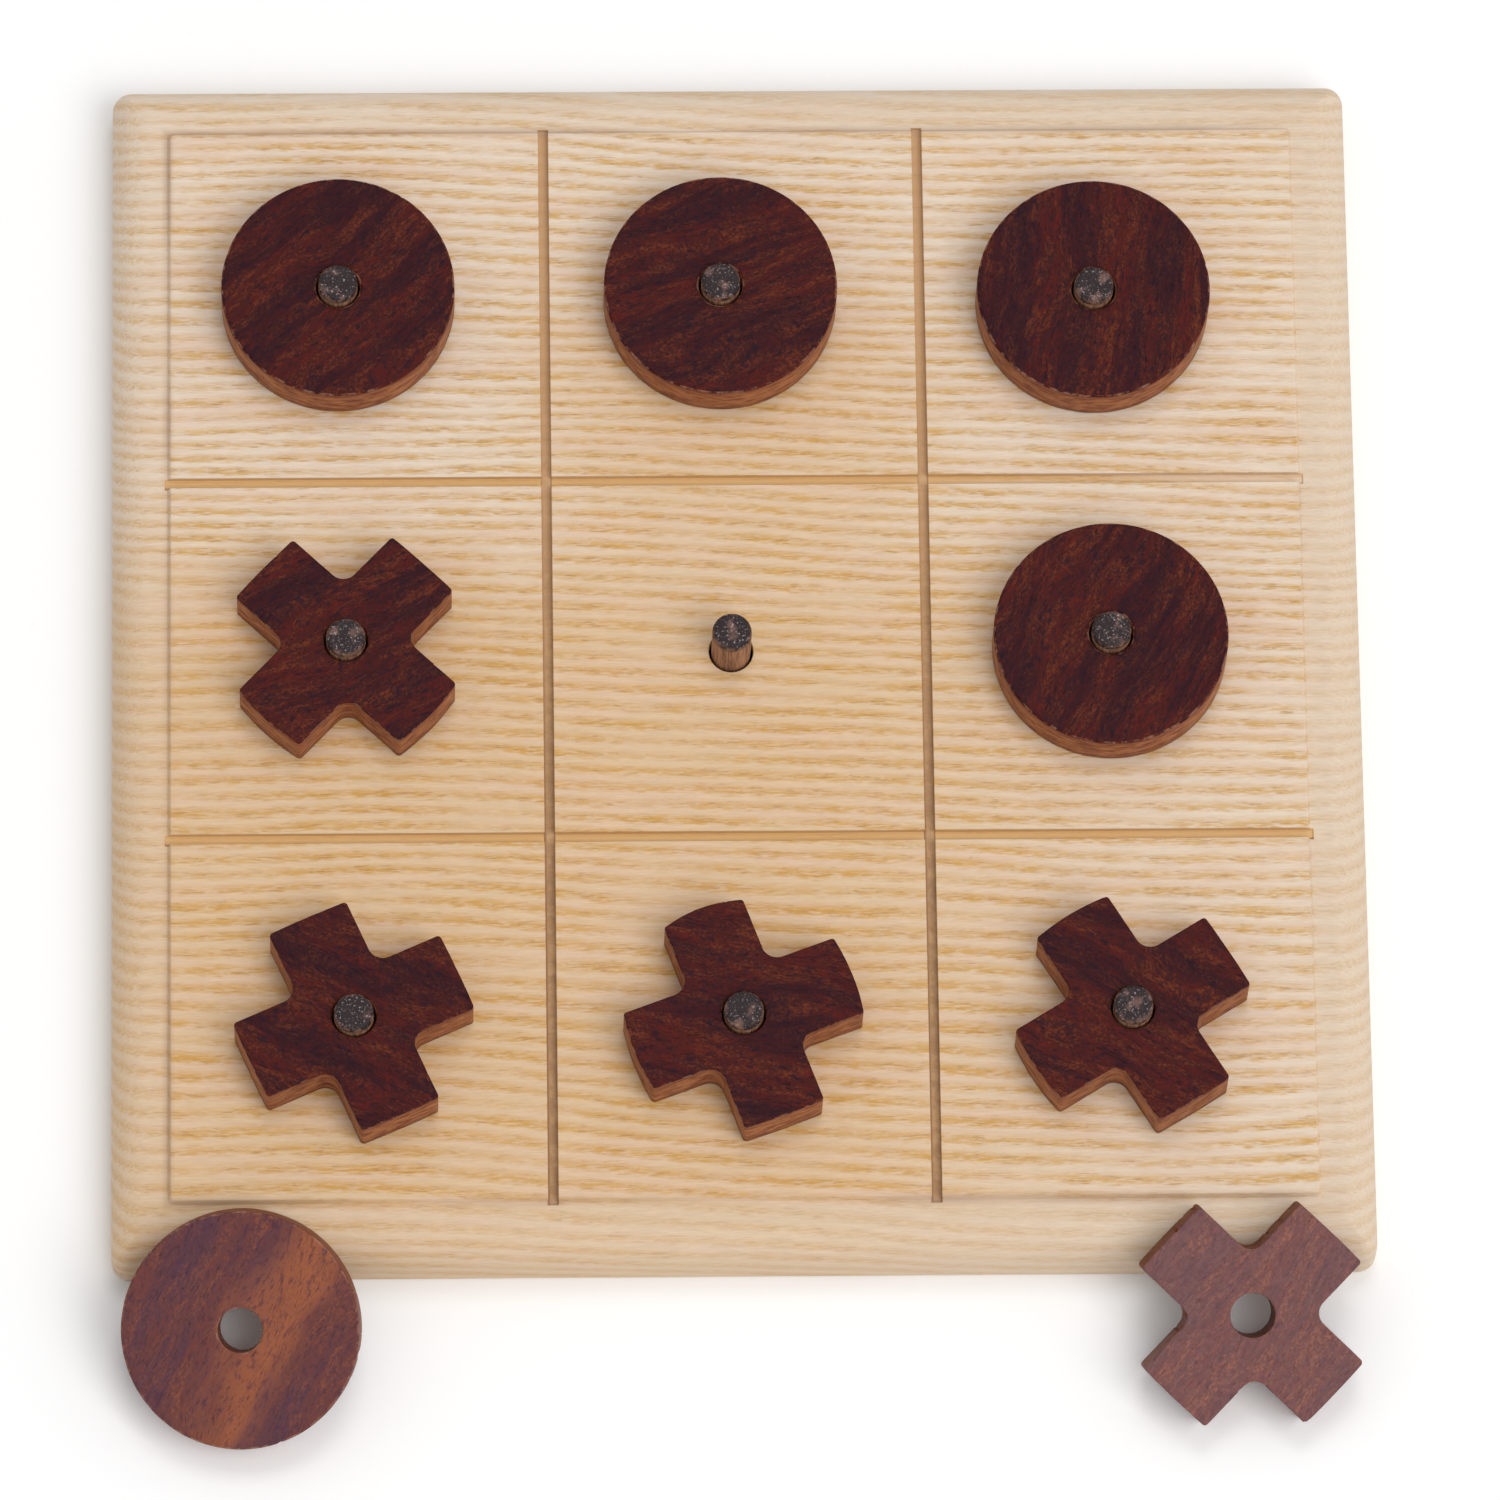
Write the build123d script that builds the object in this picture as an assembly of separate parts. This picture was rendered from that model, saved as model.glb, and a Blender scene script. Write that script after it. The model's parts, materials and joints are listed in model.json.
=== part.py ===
from build123d import *

import os

# Noughts-and-crosses set: a square board with nine glued-in pegs, and ten tokens with a hole
# that drop over the pegs. Millimetres and degrees. The origin is the middle of the board's
# underside, +X is to the player's right, +Y is away from the player and +Z is up.

# ---- Board ----
BOARD_SIDE = 200.0
BOARD_THICKNESS = 12.5          # at the raised field
BOARD_CORNER_RADIUS = 3.0       # upright corners, seen from above
BORDER_WIDTH = 9.25             # from the field's edge to the board's side
FIELD_STEP = 0.9                # how far the border lies below the field
FIELD_CORNER_RADIUS = 0.8
EDGE_ROUNDOVER = 6.0
UNDERSIDE_EASE = 0.6

# ---- Saw cuts that mark the cells ----
GROOVE_WIDTH = 1.6
GROOVE_DEPTH_UP_DOWN = 1.5      # the two cuts that run away from the player
GROOVE_DEPTH_ACROSS = 1.2
GROOVE_OVERRUN = 0.6            # past the field's edge, at each end

# ---- Pegs ----
PEG_DIAMETER = 6.3
PEG_PROUD = 2.0                 # above a token that sits on it
PEG_HEAD_ROUND = 0.9
TENON_DEPTH = 8.5               # the part of a peg in the board
TENON_TAPER = 0.2               # off the radius, at the tenon's foot
PEG_HOLE_CLEARANCE = 0.4        # radial, for glue
# How far each peg was drilled off the middle of its cell, as (right, back). Rows from the back.
DRILL_WANDER = (
    ((-3.0, 0.5), (-2.0, 0.5), (-2.5, -0.5)),
    ((-2.0, 0.5), (-1.0, 1.0), (-1.0, 1.0)),
    ((-1.0, -2.0), (0.0, -2.0), (1.0, -1.5)),
)

# ---- Tokens ----
TOKEN_DIAMETER = 37.5           # of a nought
TOKEN_THICKNESS = 7.5
TOKEN_EDGE_EASE = 0.5
TOKEN_HOLE_CLEARANCE = 0.4      # radial, over a peg
TOKEN_HOLE_EASE = 0.3
CROSS_SPAN = 36.4               # from one arm's end to the other's
CROSS_ARM_WIDTH = 13.4
CROSS_END_BOW = 0.3             # how far an arm's end bulges
CROSS_INNER_RADIUS = 2.4

# ---- Tokens on pegs: (name, row from the back, column from the left, turn) ----
NOUGHTS_ON_PEGS = (
    ("nought_top_left", 0, 0, 0.0),
    ("nought_top_middle", 0, 1, 0.0),
    ("nought_top_right", 0, 2, 0.0),
    ("nought_middle_right", 1, 2, 0.0),
)
CROSSES_ON_PEGS = (
    ("cross_middle_left", 1, 0, 46.5),
    ("cross_bottom_left", 2, 0, 24.0),
    ("cross_bottom_middle", 2, 1, 20.3),
    ("cross_bottom_right", 2, 2, 31.6),
)

# ---- Spare tokens, leaning on the board's front edge near its corners ----
SPARE_INSET = 20.8              # from the board's side to the middle of the token
LEAN_GAP = 0.3                  # left between a leaning token and the board
NOUGHT_LEAN = 22.0              # from lying flat
NOUGHT_SWING = -8.8             # about the upright, so that it faces a little left
CROSS_LEAN = 23.3
CROSS_SWING = 5.5
CROSS_SPARE_TURN = 41.0         # about its own hole
SETTLE_STEPS = 30

# ---- Sizes that follow ----
CELLS = len(DRILL_WANDER)
MIDDLE_CELL = (CELLS - 1) / 2
BORDER_LEVEL = BOARD_THICKNESS - FIELD_STEP
FIELD_SIDE = BOARD_SIDE - 2 * BORDER_WIDTH
CELL_SIDE = FIELD_SIDE / CELLS
PEG_RADIUS = PEG_DIAMETER / 2
PEG_STAND = TOKEN_THICKNESS + PEG_PROUD
TOKEN_RADIUS = TOKEN_DIAMETER / 2
TOKEN_HOLE_RADIUS = PEG_RADIUS + TOKEN_HOLE_CLEARANCE
ROW_NAMES = ("top", "middle", "bottom")
COLUMN_NAMES = ("left", "middle", "right")


def peg_place(row, column):
    """The foot of a peg on the field, with its drilling error."""
    right, back = DRILL_WANDER[row][column]
    x = (column - MIDDLE_CELL) * CELL_SIDE + right
    y = (MIDDLE_CELL - row) * CELL_SIDE + back
    return Pos(x, y, BOARD_THICKNESS)


def peg_name(row, column):
    """A peg's name, from its row and its column."""
    if row == column == MIDDLE_CELL:
        return "peg_centre"
    return f"peg_{ROW_NAMES[row]}_{COLUMN_NAMES[column]}"


def edge_section():
    """The slab's section: eased below and rounded over above, as high as the border."""
    section = Pos(0, BORDER_LEVEL / 2) * Rectangle(BOARD_SIDE, BORDER_LEVEL)
    section = fillet(section.vertices().group_by(Axis.Y)[-1], EDGE_ROUNDOVER)
    return chamfer(section.vertices().group_by(Axis.Y)[0], UNDERSIDE_EASE)


def make_slab():
    """The slab under the field: two crossed runs of the section, with rounded corners. The
    roundovers meet in a mitre at each corner, as a router leaves them."""
    section = edge_section()
    plan = RectangleRounded(BOARD_SIDE, BOARD_SIDE, BOARD_CORNER_RADIUS)
    slab = extrude(plan, BORDER_LEVEL)
    for side in (Plane.XZ, Plane.YZ):
        slab &= extrude(side * section, BOARD_SIDE / 2, both=True)
    return slab


def make_blank():
    """The board before it is cut: the slab and its raised field."""
    field = RectangleRounded(FIELD_SIDE, FIELD_SIDE, FIELD_CORNER_RADIUS)
    return (make_slab() + Pos(0, 0, BORDER_LEVEL) * extrude(field, FIELD_STEP)).solid()


def make_board(blank):
    """The board: the blank with its saw cuts and the holes for the pegs."""
    board = blank
    cut_length = FIELD_SIDE + 2 * GROOVE_OVERRUN
    cut_up_down = Box(GROOVE_WIDTH, cut_length, 2 * GROOVE_DEPTH_UP_DOWN)
    cut_across = Box(cut_length, GROOVE_WIDTH, 2 * GROOVE_DEPTH_ACROSS)
    for cut in range(1, CELLS):
        place = cut * CELL_SIDE - FIELD_SIDE / 2
        board -= Pos(place, 0, BOARD_THICKNESS) * cut_up_down
        board -= Pos(0, place, BOARD_THICKNESS) * cut_across

    hole = Cylinder(PEG_RADIUS + PEG_HOLE_CLEARANCE, 2 * TENON_DEPTH)
    for row in range(CELLS):
        for column in range(CELLS):
            board -= peg_place(row, column) * hole
    return board.solid()


def make_peg():
    """A peg, with the field at height 0: a straight shank with a rounded head, and a tapered
    tenon that stands on the floor of its hole."""
    shank = extrude(Circle(PEG_RADIUS), PEG_STAND)
    shank = fillet(shank.edges().group_by(Axis.Z)[-1], PEG_HEAD_ROUND)
    tenon = Cone(PEG_RADIUS - TENON_TAPER, PEG_RADIUS, TENON_DEPTH)
    return (shank + Pos(0, 0, -TENON_DEPTH / 2) * tenon).solid()


def make_token(outline):
    """A token, with its lower face at height 0: both rims eased, and the hole bored through."""
    token = extrude(outline, TOKEN_THICKNESS)
    token = fillet(token.faces().filter_by(Plane.XY).edges(), TOKEN_EDGE_EASE)
    bore = Cylinder(TOKEN_HOLE_RADIUS, TOKEN_THICKNESS)
    token -= Pos(0, 0, TOKEN_THICKNESS / 2) * bore
    flats = token.faces().filter_by(Plane.XY)
    mouths = [wire.edge() for flat in flats for wire in flat.inner_wires()]
    return chamfer(mouths, TOKEN_HOLE_EASE).solid()


def nought_outline():
    """The whole disc."""
    return Circle(TOKEN_RADIUS)


def cross_outline():
    """Two crossed arms with faintly bowed ends, and the four inner corners softened."""
    bow_radius = (CROSS_ARM_WIDTH ** 2 / 4 + CROSS_END_BOW ** 2) / (2 * CROSS_END_BOW)
    past_middle = bow_radius - CROSS_SPAN / 2
    arm = Rectangle(CROSS_SPAN, CROSS_ARM_WIDTH)
    for side in (-1, 1):
        arm &= Pos(side * past_middle, 0) * Circle(bow_radius)
    cross = arm + Rot(0, 0, 90) * arm
    corners = cross.vertices().sort_by_distance((0, 0, 0))
    return fillet(corners[:4], CROSS_INNER_RADIUS)


def lean_on_board(token, blank, side, lean, swing):
    """A token tipped back on its rim on the table, then slid up to the board's front edge.
    It moves by the room that is left each time, so that it comes to rest LEAN_GAP away."""
    token = Rot(0, 0, swing) * Rot(lean, 0, 0) * token
    rise = -token.bounding_box().min.Z
    start = -BOARD_SIDE / 2 - TOKEN_DIAMETER
    token = Pos(side * (BOARD_SIDE / 2 - SPARE_INSET), start, rise) * token
    for _ in range(SETTLE_STEPS):
        token = Pos(0, token.distance_to(blank) - LEAN_GAP, 0) * token
    return token


def make_parts():
    """Every piece of the set, by name, where it lies."""
    blank = make_blank()
    peg = make_peg()
    nought = make_token(nought_outline())
    cross = make_token(cross_outline())

    parts = {"board": make_board(blank)}
    for row in range(CELLS):
        for column in range(CELLS):
            parts[peg_name(row, column)] = peg_place(row, column) * peg
    for token, places in ((nought, NOUGHTS_ON_PEGS), (cross, CROSSES_ON_PEGS)):
        for name, row, column, turn in places:
            parts[name] = peg_place(row, column) * Rot(0, 0, turn) * token

    parts["nought_spare"] = lean_on_board(nought, blank, -1, NOUGHT_LEAN, NOUGHT_SWING)
    turned_cross = Rot(0, 0, CROSS_SPARE_TURN) * cross
    parts["cross_spare"] = lean_on_board(turned_cross, blank, 1, CROSS_LEAN, CROSS_SWING)
    return parts


os.makedirs("parts", exist_ok=True)
for part_name, shape in make_parts().items():
    export_step(shape, f"parts/{part_name}.step")
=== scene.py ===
import json
import logging
import math
from dataclasses import dataclass
from enum import Enum
from typing import Any, Mapping, Sequence

import bmesh
import bpy
from mathutils import Matrix, Vector


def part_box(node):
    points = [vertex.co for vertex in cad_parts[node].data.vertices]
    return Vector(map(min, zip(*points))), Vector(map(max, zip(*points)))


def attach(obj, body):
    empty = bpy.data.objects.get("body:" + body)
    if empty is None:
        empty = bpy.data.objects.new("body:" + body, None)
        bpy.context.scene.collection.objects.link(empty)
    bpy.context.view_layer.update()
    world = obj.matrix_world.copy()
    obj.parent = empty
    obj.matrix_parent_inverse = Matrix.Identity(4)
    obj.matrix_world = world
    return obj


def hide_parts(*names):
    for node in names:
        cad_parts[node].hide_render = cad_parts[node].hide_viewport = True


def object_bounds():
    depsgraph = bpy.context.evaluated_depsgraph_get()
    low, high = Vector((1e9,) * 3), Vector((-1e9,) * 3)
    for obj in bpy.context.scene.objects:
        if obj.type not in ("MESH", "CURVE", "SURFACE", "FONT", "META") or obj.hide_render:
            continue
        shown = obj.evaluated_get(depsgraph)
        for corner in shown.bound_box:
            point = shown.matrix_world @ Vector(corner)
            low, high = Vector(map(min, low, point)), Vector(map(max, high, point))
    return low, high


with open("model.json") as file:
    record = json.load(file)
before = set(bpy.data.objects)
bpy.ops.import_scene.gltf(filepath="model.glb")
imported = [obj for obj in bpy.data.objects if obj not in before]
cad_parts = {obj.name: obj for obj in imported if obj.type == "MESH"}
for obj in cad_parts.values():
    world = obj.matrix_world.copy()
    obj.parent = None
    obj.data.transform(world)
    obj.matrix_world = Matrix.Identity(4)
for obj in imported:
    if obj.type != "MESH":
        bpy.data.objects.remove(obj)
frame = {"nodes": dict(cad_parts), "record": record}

# The looks of a noughts-and-crosses set: an ash board with nine pegs, and rosewood tokens.
# Metres and radians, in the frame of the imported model. Patterns are worked out in millimetres.

LOG = logging.getLogger("noughts_and_crosses")
CAD_LOW, CAD_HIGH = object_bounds()
MM = 0.001
TO_MM = 1000.0
QUARTER_TURN = math.pi / 2
WELD = 0.01 * MM                # a rule joins the points of its parts that are this close
STRAY_WELD = 0.002 * MM         # and a finished mesh those that are this close
FLAT = 0.99995                  # a face that squares up with an axis this well is shaded flat
LEVEL = 0.995                   # a face whose normal's Z is less than this is slanted
BORE_SIDES = 72
DOWEL_SIDES = 56
DRILL_SIDES = 64
CHIPS_OFF_BORE = 1.2 * MM       # chips stay this far from a token's hole
MOUTH_DEPTH = 0.8 * MM          # how deep the eased mouth of a token's hole goes
MOUTH_REACH = 0.7 * MM          # and how far out from the hole
SHARP_EDGE = math.radians(50)   # a turned or sawn edge of this angle or more is eased
SHARP_CUT = math.radians(38)    # and on the board, one of this angle
BLANK_PLACE = "blank_place"     # a token's attribute: where in the rosewood blank a point was cut
HOLE_MOUTH = "hole_mouth"       # a token's attribute: 1 on the eased mouths of its hole, else 0

Number = float | int
Socket = bpy.types.NodeSocket
Feed = Socket | Number | str | tuple


def srgb(red: int, green: int, blue: int) -> tuple[float, float, float, float]:
    """A colour as the scene-linear values that a socket takes.

    Args:
        red: The red channel as seen on a screen, 0 to 255.
        green: The green channel.
        blue: The blue channel.

    Returns:
        Linear red, green, blue and a full alpha.
    """
    def linear(channel: int) -> float:
        """One channel, from its screen value."""
        share = channel / 255
        return share / 12.92 if share <= 0.04045 else ((share + 0.055) / 1.055) ** 2.4

    return linear(red), linear(green), linear(blue), 1.0


# ---------------------------------------------------------------------------------------------
# Node trees
# ---------------------------------------------------------------------------------------------


@dataclass(frozen=True)
class Pattern:
    """One soft random pattern."""

    stretch: tuple[Number, Number, Number]      # how many changes in a millimetre, each way
    seed: Number                                # picks another pattern of the same kind
    detail: Number = 2.0                        # how many finer layers are added
    rough: Number = 0.5                         # how strong each finer layer is


class Tree:
    """A node tree being built, with short ways to add a node and feed its sockets."""

    def __init__(self, nodes: bpy.types.NodeTree) -> None:
        """Keeps the tree that nodes are added to."""
        self.nodes = nodes

    def feed(self, socket: Socket, value: Feed) -> None:
        """Links a socket, or sets it.

        Args:
            socket: The input to feed.
            value: An output to link, or a plain value.
        """
        if isinstance(value, bpy.types.NodeSocket):
            self.nodes.links.new(value, socket)
        else:
            socket.default_value = value

    def add(self, kind: str, feeds: Mapping[str | int, Feed] | None = None,
            **settings: Any) -> bpy.types.Node:
        """Adds a node.

        Args:
            kind: The node's type name.
            feeds: Input name or number to what feeds it.
            **settings: The node's own properties.

        Returns:
            The new node.
        """
        node = self.nodes.nodes.new(kind)
        for name, value in settings.items():
            setattr(node, name, value)
        for key, value in (feeds or {}).items():
            self.feed(node.inputs[key], value)
        return node

    def calc(self, operation: str, first: Feed, second: Feed = 0.0, third: Feed = 0.0) -> Socket:
        """A sum on numbers.

        Args:
            operation: The Math node's operation.
            first: Its first number.
            second: Its second, where the operation has one.
            third: Its third, where the operation has one.

        Returns:
            The result's socket.
        """
        node = self.add("ShaderNodeMath", {0: first, 1: second, 2: third}, operation=operation)
        return node.outputs[0]

    def times(self, first: Feed, *others: Feed) -> Socket:
        """A product of numbers."""
        for other in others:
            first = self.calc("MULTIPLY", first, other)
        return first

    def vector(self, operation: str, first: Feed, second: Feed = (0.0, 0.0, 0.0)) -> Socket:
        """A sum on vectors, with both operands vectors."""
        node = self.add("ShaderNodeVectorMath", {0: first, 1: second}, operation=operation)
        return node.outputs[0]

    def split(self, vector: Feed) -> tuple[Socket, Socket, Socket]:
        """A vector's three parts."""
        node = self.add("ShaderNodeSeparateXYZ", {0: vector})
        return node.outputs[0], node.outputs[1], node.outputs[2]

    def join(self, x: Feed = 0.0, y: Feed = 0.0, z: Feed = 0.0) -> Socket:
        """A vector from its three parts."""
        return self.add("ShaderNodeCombineXYZ", {0: x, 1: y, 2: z}).outputs[0]

    def all_ways(self, amount: Feed) -> Socket:
        """A vector with the same number each way."""
        return self.join(amount, amount, amount)

    def in_mm(self, vector: Feed) -> Socket:
        """A vector of metres, in millimetres."""
        return self.vector("MULTIPLY", vector, (TO_MM, TO_MM, TO_MM))

    def span(self, value: Feed, low: Feed, high: Feed, to_low: Feed = 0.0, to_high: Feed = 1.0) -> Socket:
        """Eases a value from one range into another, held at both ends.

        Args:
            value: The value.
            low: Where the range starts; it may be above high.
            high: Where it ends.
            to_low: What comes out at low.
            to_high: What comes out at high.

        Returns:
            The eased value's socket.
        """
        feeds = {"Value": value, "From Min": low, "From Max": high, "To Min": to_low, "To Max": to_high}
        return self.add("ShaderNodeMapRange", feeds, interpolation_type="SMOOTHSTEP").outputs[0]

    def noise(self, place: Feed, pattern: Pattern) -> Socket:
        """A soft random value over space.

        Args:
            place: The point, in millimetres.
            pattern: The pattern.

        Returns:
            The value's socket, about 0.5 on average.
        """
        feeds = {"Vector": self.vector("MULTIPLY", place, pattern.stretch), "W": pattern.seed, "Scale": 1.0,
                 "Detail": pattern.detail, "Roughness": pattern.rough}
        return self.add("ShaderNodeTexNoise", feeds, noise_dimensions="4D").outputs[0]

    def swing(self, place: Feed, pattern: Pattern) -> Socket:
        """A soft random value over space, about 0 on average."""
        return self.calc("SUBTRACT", self.noise(place, pattern), 0.5)

    def blend(self, share: Feed, first: Feed, second: Feed) -> Socket:
        """Mixes two colours.

        Args:
            share: How much of the second, 0 to 1.
            first: The first colour.
            second: The second colour.

        Returns:
            The mixed colour's socket.
        """
        return self.add("ShaderNodeMix", {0: share, 6: first, 7: second}, data_type="RGBA").outputs[2]


@dataclass(frozen=True)
class Gloss:
    """How a finish takes the light, apart from its colour."""

    rough: float                # the middle roughness
    rough_swing: float          # how far it varies to each side
    specular: float
    bump_height: float          # metres

    def shade(self, tree: Tree, colour: Socket, height: Socket, polish: Socket) -> None:
        """Adds the surface shader and the output.

        Args:
            tree: The material's tree.
            colour: The finish's colour.
            height: The relief, 0 to 1.
            polish: 0 where the surface is dullest, 1 where it is most polished.
        """
        bump = tree.add("ShaderNodeBump", {"Strength": 1.0, "Distance": self.bump_height, "Height": height})
        low, high = self.rough + self.rough_swing, self.rough - self.rough_swing
        feeds = {"Base Color": colour, "Roughness": tree.span(polish, 0.0, 1.0, low, high),
                 "Specular IOR Level": self.specular, "Normal": bump.outputs[0]}
        shader = tree.add("ShaderNodeBsdfPrincipled", feeds)
        tree.add("ShaderNodeOutputMaterial", {"Surface": shader.outputs[0]})


def new_material(name: str) -> tuple[bpy.types.Material, Tree]:
    """An empty material and its tree.

    Args:
        name: The material's name.

    Returns:
        The material, and the tree to build it in.
    """
    material = bpy.data.materials.new(name)
    material.use_nodes = True
    material.node_tree.nodes.clear()
    return material, Tree(material.node_tree)


# ---------------------------------------------------------------------------------------------
# Finishes
# ---------------------------------------------------------------------------------------------


@dataclass(frozen=True)
class AshFinish:
    """Pale ash, planed on the field and routed along the edge, with its rings along X.

    Every length is in millimetres.
    """

    field_half: float           # from the middle to the field's edge
    top: float                  # the field's height
    cell: float                 # a cell's side
    groove_half: float          # half a saw cut's width

    pith_front: float = -210.0  # where the log's middle lay
    pith_down: float = -120.0
    ring: float = 2.25          # one year's growth
    sag: float = 7.0            # how far the grain falls from left to right
    sag_reach: float = 70.0     # how far from the middle it goes on falling
    year_apart: float = 17.0    # sets each year's strong and weak stretches apart from the next year's
    drift_by: float = 8.0       # how far each pattern below pushes a ring off its circle
    ripple_by: float = 1.6
    waver_by: float = 0.8
    dashes_by: float = 1.25
    drift: Pattern = Pattern((0.009, 0.02, 0.02), seed=1.0, detail=1.0)
    ripple: Pattern = Pattern((0.03, 0.1, 0.1), seed=2.0, detail=1.0)
    waver: Pattern = Pattern((0.2, 0.9, 0.9), seed=3.0)
    vigour: Pattern = Pattern((0.04, 1.0, 1.0), seed=4.0)
    dashes: Pattern = Pattern((0.42, 2.9, 2.9), seed=5.0, rough=0.6)        # left by the rings' pores
    fibre: Pattern = Pattern((0.3, 3.8, 3.8), seed=6.0, detail=3.0, rough=0.65)

    sap_edge: float = 18.0      # where the paler sapwood begins, towards the back
    sap_ragged: float = 24.0    # how far its edge strays
    sap_line: Pattern = Pattern((0.05, 0.4, 0.4), seed=12.0)
    blush_patch: Pattern = Pattern((0.03, 0.25, 0.25), seed=7.0, detail=3.0, rough=0.55)
    pore_dash: Pattern = Pattern((0.4, 4.2, 4.2), seed=8.0, rough=0.6)
    speck_spot: Pattern = Pattern((0.8, 1.6, 1.6), seed=9.0, rough=0.6)
    grit: Pattern = Pattern((0.5, 0.5, 0.5), seed=10.0, detail=3.0, rough=0.65)
    # patches of the painted shade at the foot of the step
    step_shade_patches: Pattern = Pattern((0.03, 0.03, 0.03), seed=11.0)

    cream_back: tuple = srgb(224, 207, 188)
    cream_front: tuple = srgb(215, 186, 151)
    blush: tuple = srgb(219, 187, 163)
    gold_back: tuple = srgb(206, 163, 100)
    gold_front: tuple = srgb(201, 152, 80)
    pore: tuple = srgb(176, 124, 70)
    routed: tuple = srgb(214, 194, 171)
    # painted shade along the foot of the step
    painted_step_shade: tuple = srgb(172, 142, 118)
    speck: tuple = srgb(120, 84, 52)
    cut_floor: tuple = srgb(206, 166, 120)
    cut_across: tuple = srgb(216, 174, 116)
    # painted shadow along the front side of each cut across
    cut_painted_shadow: tuple = srgb(168, 122, 78)
    # darker colour of the cuts from back to front, along their left side and towards the front
    cut_darker: tuple = srgb(150, 108, 76)
    # painted shade inside the peg holes
    painted_hole_shade: tuple = srgb(40, 22, 16)
    gloss: Gloss = Gloss(rough=0.58, rough_swing=0.08, specular=0.2, bump_height=0.00008)

    def material(self) -> bpy.types.Material:
        """Makes the board's material.

        Returns:
            The material.
        """
        material, tree = new_material("ash")
        place = tree.in_mm(tree.add("ShaderNodeTexCoord").outputs["Object"])
        x, y, _ = tree.split(place)
        from_middle = tree.calc("MAXIMUM", tree.calc("ABSOLUTE", x), tree.calc("ABSOLUTE", y))

        dashes = tree.noise(place, self.dashes)
        golden, strength = self.rings(tree, place, dashes)
        cream, gold = self.grounds(tree, place)
        broken = tree.span(dashes, 0.36, 0.58, 0.35, 1.0)
        colour = tree.blend(tree.times(golden, broken), cream, gold)
        pores = tree.times(tree.span(tree.noise(place, self.pore_dash), 0.56, 0.66),
                           tree.span(golden, 0.1, 0.7, 0.05, 0.5))
        colour = tree.blend(pores, colour, self.pore)

        border = tree.span(from_middle, self.field_half - 0.6, self.field_half + 0.9)
        faint = tree.span(x, -self.field_half, self.field_half, 0.3, 0.6)
        colour = tree.blend(tree.times(border, faint), colour, self.routed)
        fibre = tree.noise(place, self.fibre)
        shade = tree.span(fibre, 0.28, 0.72, 0.925, 1.05)
        colour = tree.vector("MULTIPLY", colour, tree.all_ways(shade))
        specks = tree.span(tree.noise(place, self.speck_spot), 0.77, 0.81, 0.0, 0.6)
        colour = tree.blend(specks, colour, self.speck)

        colour = self.saw_cuts(tree, colour, place, from_middle)
        colour = self.step_and_bores(tree, colour, place, from_middle)
        height = tree.calc("ADD", tree.times(fibre, 0.6), tree.times(pores, -0.6))
        self.gloss.shade(tree, colour, height, strength)
        return material

    def rings(self, tree: Tree, place: Socket, dashes: Socket) -> tuple[Socket, Socket]:
        """The growth rings.

        Args:
            tree: The material's tree.
            place: The point, in millimetres.
            dashes: The short dashes that the rings' pores leave.

        Returns:
            How golden the wood is, 0 to 1, and how strong this ring is here.
        """
        x, y, z = tree.split(place)
        fall = tree.span(x, -self.sag_reach, self.sag_reach, 0.0, self.sag)
        off_y = tree.calc("ADD", tree.calc("SUBTRACT", y, self.pith_front), fall)
        off_z = tree.calc("SUBTRACT", z, self.pith_down)
        squares = tree.calc("ADD", tree.times(off_y, off_y), tree.times(off_z, off_z))
        from_pith = tree.calc("SQRT", squares)
        strays = (self.drift, self.ripple, self.waver)
        drift, ripple, waver = [tree.swing(place, pattern) for pattern in strays]
        for stray, reach in ((drift, self.drift_by), (ripple, self.ripple_by), (waver, self.waver_by),
                             (dashes, self.dashes_by)):
            from_pith = tree.calc("MULTIPLY_ADD", stray, reach, from_pith)
        years = tree.calc("DIVIDE", from_pith, self.ring)
        season = tree.calc("FRACT", years)
        along = tree.join(x, tree.times(tree.calc("FLOOR", years), self.year_apart), 0.0)
        strength = tree.span(tree.noise(along, self.vigour), 0.3, 0.62, 0.35, 1.0)
        spring = tree.times(tree.span(season, 0.0, 0.42), tree.span(season, 1.0, 0.45))
        return tree.times(spring, strength), strength

    def grounds(self, tree: Tree, place: Socket) -> tuple[Socket, Socket]:
        """The wood's two colours: paler sapwood at the back, and warmer wood near the pith.

        Args:
            tree: The material's tree.
            place: The point, in millimetres.

        Returns:
            The colour between the rings, and the rings' own.
        """
        x, y, _ = tree.split(place)
        ragged_y = tree.calc("MULTIPLY_ADD", tree.noise(place, self.sap_line), self.sap_ragged, y)
        front = tree.times(tree.span(ragged_y, self.sap_edge + 30.0, self.sap_edge - 4.0),
                           tree.span(x, 90.0, 5.0, 0.1, 1.0))
        near_pith = tree.times(tree.span(tree.calc("ABSOLUTE", x), 46.0, 12.0, 0.0, 0.8),
                               tree.span(ragged_y, 84.0, 60.0))
        front = tree.calc("MAXIMUM", front, near_pith)
        cream = tree.blend(front, self.cream_back, self.cream_front)
        flush = tree.span(tree.noise(place, self.blush_patch), 0.42, 0.68, 0.0, 0.5)
        return tree.blend(flush, cream, self.blush), tree.blend(front, self.gold_back, self.gold_front)

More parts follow.
